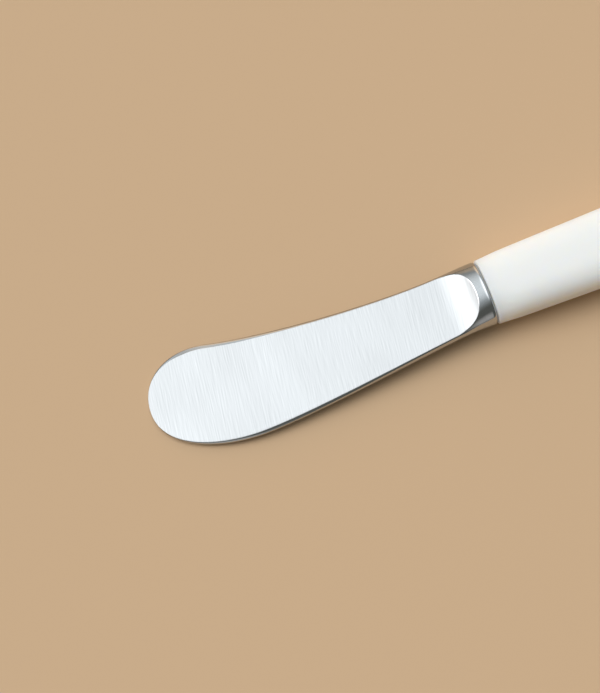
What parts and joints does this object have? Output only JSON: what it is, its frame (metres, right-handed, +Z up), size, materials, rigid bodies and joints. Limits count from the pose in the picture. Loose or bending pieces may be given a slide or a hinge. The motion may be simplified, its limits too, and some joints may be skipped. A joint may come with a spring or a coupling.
{
  "type": "butter knife",
  "caption": "Butter knife with a broad round-tipped satin steel blade, a polished integral bolster and a smooth ivory resin handle cemented on a hidden tang.",
  "frame": {"origin": "middle of the box, on the surface that the knife lies on", "axes": "+X along the knife from the tip of the blade to the butt of the handle, +Y towards the spine, +Z up from the surface that it lies on"},
  "size_m": [0.1488, 0.0228, 0.0142],
  "materials": {
    "steel": "satin cross-brushed faces, mirror-polished bolster and edges",
    "ivory_resin": "smooth satin gloss",
    "cement": "dull"
  },
  "bodies": {
    "root": {"forged_blade": "steel", "handle": "ivory_resin", "tang_cement": "cement"}
  },
  "joints": []
}
